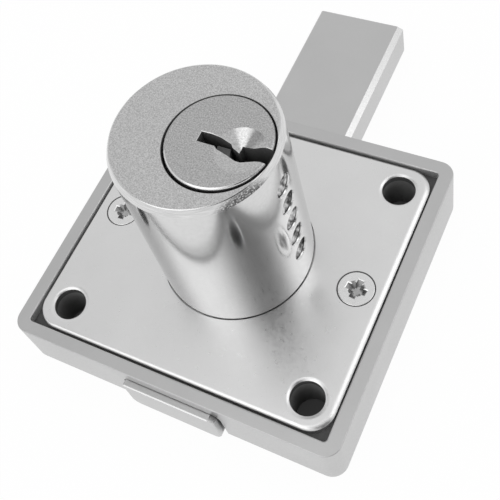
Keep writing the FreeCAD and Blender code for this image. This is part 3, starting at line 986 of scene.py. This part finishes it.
def make_plug():
    top = plug_high.z
    under = barrel_high.z - head_thickness
    profile = [(plug_radius, plug_low.z), (plug_radius, under - 0.001 * mm),
               (plug_head_radius, under)]
    profile += [(plug_head_radius - inset, top - plug_edge + rise)
                for inset, rise in rolled_edge(plug_edge)]
    plug = turned("plug_core", profile, (plug_axis, 0), worn_face, 192)
    dimple_profile = [(0.3 * mm, top - dimple_depth), (dimple_radius, top),
                      (dimple_radius + beyond, top + beyond)]
    low = plug_low.z - beyond
    cutters = [
        keyway_cutter(),
        turned("dimple", dimple_profile, dimple_centre, countersunk, 128),
        block("tongue_slot", (plug_axis - tongue_reach, -tongue_half, low),
              (plug_axis + tongue_reach, tongue_half, plug_low.z + tongue_depth), pin_brass),
        turned("screw_bore", [(screw_bore_radius, low),
                              (screw_bore_radius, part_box("cam_screw")[1].z + fit_gap)],
               (plug_axis, 0), pin_brass, 48),
    ]
    give_finish(plug, screw_nickel_and_painted_highlight, front_edge_painted_highlight)
    start = plug_axis - plug_radius - beyond
    # The pin bores get painted shade on their walls.
    for z in pin_heights:
        bore = [(pin_hole_radius, 0), (pin_hole_radius, plug_axis + pin_bore_end - start)]
        cutters.append(run_along_x(turned("pin_bore", bore, (0, 0), painted_shade, 64), start, z))
    return shade(cut(plug, cutters), [(Vector((plug_axis, 0, 0)), up, plug_radius)])


hand_over(make_plug(), "plug", ["plug"])

# %% [markdown]
# ## The bolt
#
# The bolt is a cast bar with rounded lower edges, a low broad bevel along its right upper edge and
# a narrow one along the left. Two wings inside the case run on the rails beside its channel, and a
# blind slot across it takes the cam's stud.

# %% Sizes of the bolt
bevel_width = 0.9 * mm
bevel_height = 0.45 * mm
left_bevel = 0.2 * mm
bottom_round = 1.2 * mm
nose_ease = 0.17 * mm
nose_drop = 0.12 * mm
slot_floor = case_low.z + 1.5 * mm
stud_reach = (stud_high.x - stud_low.x) / 2 + 0.05 * mm
stud_swing = (stud_low.y + stud_high.y) / 2
wing_stop = 0.3 * mm
print("bolt in mm:", [round(side / mm, 2) for side in bolt_high - bolt_low])

# %% [markdown]
# A bevel modifier rounds every edge alike, while each long edge of this bar is different. So its
# section is drawn once, with its own bevels and rounds, and run from the tail to the nose. Both
# ends are eased by a smaller section. The thin bright line along the tail's upper edge is a painted
# highlight on that eased edge, and the right bevel has a painted highlight too.

# %% The bolt's bar
def bolt_section(inset):
    half, top, foot = bolt_half - inset, bolt_high.z - inset, case_low.z + inset
    return (arc((bottom_round - half, foot + bottom_round), bottom_round, 180, 270, 6)
            + arc((half - bottom_round, foot + bottom_round), bottom_round, 270, 360, 6)
            + [(half, top - bevel_height), (half - bevel_width, top), (left_bevel - half, top),
               (-half, top - left_bevel)])


def bolt_bar():
    stations = [(nose_drop, bolt_low.y), (0, bolt_low.y + nose_ease),
                (0, bolt_high.y - nose_ease), (nose_drop, bolt_high.y)]
    layers = [(bolt_section(inset), y) for inset, y in stations]
    return run_along_y(skin("bolt_bar", layers, bolt_zinc))


bar = bolt_bar()
print(bar.name, "faces:", len(bar.data.polygons))

# %% [markdown]
# While the plug turns half a turn, the bolt draws back by its whole throw. Seen from the bolt, the
# stud therefore goes round a closed loop, and the slot is that loop widened by the stud's radius.
# The loop bulges everywhere, so in each direction the slot's edge lies beyond the loop's furthest
# point in that direction.

# %% The stud's slot
def slot_outline(steps=96):
    loop = []
    for step in range(steps + 1):
        turn = math.pi * step / steps
        loop.append(Vector((plug_axis - stud_swing * math.sin(turn),
                            stud_swing * math.cos(turn) + throw * step / steps)))
    outline = []
    for direction in (Vector(way) for way in circle(1.0, steps=steps)):
        furthest = max(loop, key=lambda place: place.dot(direction))
        outline.append(tuple(furthest + direction * stud_reach))
    return outline


def make_bolt():
    wings = block("wings", (bolt_low.x, throw + wing_stop - cavity_y, bolt_high.z - wing_thickness),
                  (bolt_high.x, cavity_y - wing_stop, bolt_high.z), bolt_zinc)
    slot = slot_outline()
    cutter = skin("stud_slot", [(slot, slot_floor), (slot, beyond)], cam_steel)
    bolt = cut(join(bar, [wings]), [cutter])
    # The right bevel gets a painted highlight in a lighter nickel, and the tail's eased edge gets a
    # painted highlight in the brightest nickel, the brightest line on the bar.
    give_finish(bolt, bevel_painted_highlight, lambda face: 0.3 < face.normal.z < 0.98 and face.normal.x > 0.2)
    give_finish(bolt, screw_nickel_and_painted_highlight, lambda face: face.normal.y < -0.3 and face.normal.z > 0.3)
    return shade(bolt)


hand_over(make_bolt(), "bolt", ["bolt"])

# %% [markdown]
# ## The pin springs
#
# Behind each driver pin sits a small compression spring of 0.35 mm steel wire. Its coils are open
# in the middle and closed at the ends, so it stands square on the pin. The screw modifier could
# wind it, but only at one pitch. So a curve follows the wire's centre line, and a round bevel gives
# it its thickness. All five springs share one mesh.

# %% The pin springs
wire_radius = 0.175 * mm
spring_low, spring_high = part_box("pin_spring_1")
coil_radius = (spring_high.y - spring_low.y) / 2 - wire_radius
coil_turns = 7
points_per_turn = 20
closed_pitch = 0.4          # pitch of the first and last turn, as a share of the open pitch


def coil_path():
    """Points along the wire, from one closed end to the other, centred on the origin."""
    count = coil_turns * points_per_turn
    steps = []
    for index in range(count + 1):
        turns_from_end = min(index, count - index) / points_per_turn
        steps.append(closed_pitch if turns_from_end < 1 else 1.0)
    total = sum(steps[1:])
    length = spring_high.x - spring_low.x - 2 * wire_radius
    x = -length / 2
    path = []
    for index, step in enumerate(steps):
        x += step / total * length if index else 0
        turn = 2 * math.pi * index / points_per_turn
        path.append((x, coil_radius * math.cos(turn), coil_radius * math.sin(turn)))
    return path


def coil_mesh():
    curve = bpy.data.curves.new("wire", "CURVE")
    curve.dimensions = "3D"
    curve.bevel_depth = wire_radius
    curve.bevel_resolution = 2
    curve.use_fill_caps = True
    path = coil_path()
    wire = curve.splines.new("POLY")
    wire.points.add(len(path) - 1)
    for point, place in zip(wire.points, path):
        point.co = (*place, 1.0)
    drawn = bpy.data.objects.new("wire", curve)
    bpy.context.scene.collection.objects.link(drawn)
    graph = bpy.context.evaluated_depsgraph_get()
    mesh = bpy.data.meshes.new_from_object(drawn.evaluated_get(graph), depsgraph=graph)
    bpy.data.curves.remove(curve)
    mesh.materials.clear()
    mesh.materials.append(spring_wire)
    return mesh


spring_mesh = coil_mesh()
for number, z in enumerate(pin_heights):
    spring = bpy.data.objects.new(f"wound_spring_{number + 1}", spring_mesh)
    spring.location = ((spring_low.x + spring_high.x) / 2, 0, z)
    bpy.context.scene.collection.objects.link(spring)
    hand_over(spring, "housing", [f"pin_spring_{number + 1}"])

# %% [markdown]
# ## The pieces kept from the CAD model
#
# The cam, its screw, the stud and the pins are small and hidden, and the CAD model already has
# their whole shape. They could be built again, but that would add nothing, so they keep it and
# only get a better finish.

# %% The finish of the kept pieces
kept = {"cam": cam_steel, "cam_screw": cam_steel, "drive_pin": stud_steel}
kept.update({f"key_pin_{n}": pin_brass for n in range(1, 6)})
kept.update({f"driver_pin_{n}": pin_brass for n in range(1, 6)})
for name, material in kept.items():
    for slot in frame["nodes"][name].material_slots:
        slot.material = material
print("kept pieces:", len(kept))

# %% [markdown]
# ## The studio
#
# The lock lies on a white sheet that fills the view. More light on it would make it white too, but
# would wash out the metal. So a mix of light that the sheet sends out and light that falls on it
# keeps it white and still lets the lock cast a faint shadow. The Light Path node limits the part
# that it sends out to what the camera and the reflections see, so it doesn't light the lock from
# below as well. Under the lock a dark grey sheet of painted shade, with a faint glow of its own, is
# let into the white one, so that the screw holes look down on shade and stay as dark as they look on
# the real lock. Paper fibres are a few hundredths of a millimetre wide, too fine to show, and are
# drawn at 0.4 mm.

# %% The white floor
def paper_sheet(name, colour, glow_share):
    material, tree, place = new_material(name)
    fibre = add(tree, "ShaderNodeTexNoise", {
        "Vector": place, "Scale": 1 / (0.4 * mm), "Detail": 3.0})
    bump = add(tree, "ShaderNodeBump", {
        "Height": fibre.outputs["Fac"], "Strength": 1.0, "Distance": 0.005 * mm})
    paper = add(tree, "ShaderNodeBsdfDiffuse", {
        "Color": linear(colour), "Normal": bump.outputs["Normal"]})
    glow = add(tree, "ShaderNodeEmission", {"Color": linear("#FFFFFF"), "Strength": 1.0})
    ray = add(tree, "ShaderNodeLightPath")
    seen = add(tree, "ShaderNodeMath", {
        0: ray.outputs["Is Camera Ray"], 1: ray.outputs["Is Glossy Ray"]}, operation="ADD")
    seen = add(tree, "ShaderNodeMath", {
        0: seen.outputs["Value"], 1: ray.outputs["Is Transmission Ray"]}, operation="ADD")
    share = add(tree, "ShaderNodeMath", {
        0: seen.outputs["Value"], 1: glow_share}, operation="MULTIPLY", use_clamp=True)
    sheet = add(tree, "ShaderNodeMixShader", {
        0: share.outputs["Value"], 1: paper.outputs["BSDF"], 2: glow.outputs["Emission"]})
    add(tree, "ShaderNodeOutputMaterial", {"Surface": sheet.outputs["Shader"]})
    return material


floor_half = 1.2
floor_thickness = 2 * mm
paper_recess = 0.05 * mm
# The dark paper under the lock is a sheet of painted shade.
covered = 1.5 * mm          # how far the lock's outline reaches over the dark paper
floor = block("floor", (-floor_half, -floor_half, case_low.z - floor_thickness),
              (floor_half, floor_half, case_low.z),
              paper_sheet("white_paper_sheet", "#FDFDFD", 0.96))
# A dark grey sheet of painted shade under the lock, with a faint glow of its own.
shaded = block("shaded", (case_low.x + covered, case_low.y + covered, case_low.z - paper_recess),
               (case_high.x - covered, case_high.y - covered, case_low.z + beyond),
               paper_sheet("painted_shade_under_lock", "#4C4C4C", 0.02))
cut(floor, [shaded])
print("floor in metres:", 2 * floor_half, "square, with its top at", round(case_low.z, 4))

# %% [markdown]
# The lock is photographed in a light tent. Its cloth is an even pale grey, and it is open on the
# side where the camera looks in, which polished metal mirrors as a soft dark patch. On the left
# the cloth hangs in a fold and passes less light. The tent could be built from sheets, but a metal
# part mirrors only directions, so the sky around the scene stands for it: where a direction in it
# lies close to the middle of the opening or of the fold, it is darker.

# %% The light tent
def direction(azimuth, elevation):
    turn, rise = math.radians(azimuth), math.radians(elevation)
    level = math.cos(rise)
    return Vector((level * math.cos(turn), level * math.sin(turn), math.sin(rise)))


def light_tent(cloth, patches):
    """Sky of grey cloth with darker patches: (light passed, middle, inner and outer angle) each."""
    world = bpy.data.worlds.new("light_tent")
    world.use_nodes = True
    tree = world.node_tree
    tree.nodes.clear()
    way = add(tree, "ShaderNodeTexCoord").outputs["Generated"]
    brightness = cloth
    for passed, middle, inner, outer in patches:
        closeness = add(tree, "ShaderNodeVectorMath", {0: way, 1: middle}, operation="DOT_PRODUCT")
        share = add(tree, "ShaderNodeMapRange", {
            "Value": closeness.outputs["Value"], "From Min": math.cos(math.radians(outer)),
            "From Max": math.cos(math.radians(inner)), "To Min": 1.0, "To Max": passed},
            interpolation_type="SMOOTHSTEP")
        brightness = add(tree, "ShaderNodeMath", {0: share.outputs["Result"], 1: brightness},
                         operation="MULTIPLY").outputs["Value"]
    sky = add(tree, "ShaderNodeBackground", {"Color": linear("#FFFFFF"), "Strength": brightness})
    add(tree, "ShaderNodeOutputWorld", {"Surface": sky.outputs["Background"]})
    return world


opening = (0.02, direction(-28, 53), 12, 24.5)
fold = (0.56, direction(-172, 55), 5, 20)
bpy.context.scene.world = light_tent(0.82, [opening, fold])
print("tent:", bpy.context.scene.world.name, "with its opening towards",
      [round(part, 2) for part in opening[1]])

# %% [markdown]
# Three lamps shine through the cloth. Each is a round soft box that is turned to look at the lock,
# as an area light faces down its own -Z axis. A sun lamp would be simpler, but its hard highlights
# aren't those of a tent. None of the three stands where the plate would mirror it to the camera:
# the wide one lights the near left side, a small one the top, and one the right.

# %% Lamps
lamp_distance = 0.6


def soft_box(name, azimuth, elevation, size, power):
    light = bpy.data.lights.new(name, "AREA")
    light.shape = "DISK"
    light.size = size
    light.energy = power
    lamp = bpy.data.objects.new(name, light)
    lamp.location = direction(azimuth, elevation) * lamp_distance
    lamp.rotation_euler = (-lamp.location).to_track_quat("-Z", "Y").to_euler()
    bpy.context.scene.collection.objects.link(lamp)
    return lamp


boxes = [("wide_box", -110, 50, 0.50, 0.5), ("top_box", 205, 77, 0.24, 0.12),
         ("right_box", 40, 54, 0.34, 0.3)]
for settings in boxes:
    print(soft_box(*settings).name, "watts:", settings[-1])

# %% [markdown]
# ## The camera
#
# The camera looks steeply down at the lock from its front right. Its place and lens were worked out
# from points of the photograph whose real places are known. The lens is shifted rather than
# turned, as the lock isn't in the middle of the picture.

# %% Camera
camera_data = bpy.data.cameras.new("camera")
camera_data.sensor_width = 36.0
camera_data.lens = 66.715
camera_data.shift_x = 0.0834
camera_data.shift_y = -0.124
camera_data.clip_start = 0.005
camera = bpy.data.objects.new("camera", camera_data)
camera.location = Vector((47.66, -48.6, 115.0)) * mm
camera.rotation_euler = [math.radians(angle) for angle in (32.742, 12.377, 26.598)]
bpy.context.scene.collection.objects.link(camera)
bpy.context.scene.camera = camera
bpy.context.scene.view_settings.view_transform = "Standard"
print("camera to lock in mm:", round(camera.location.length / mm))

# %% [markdown]
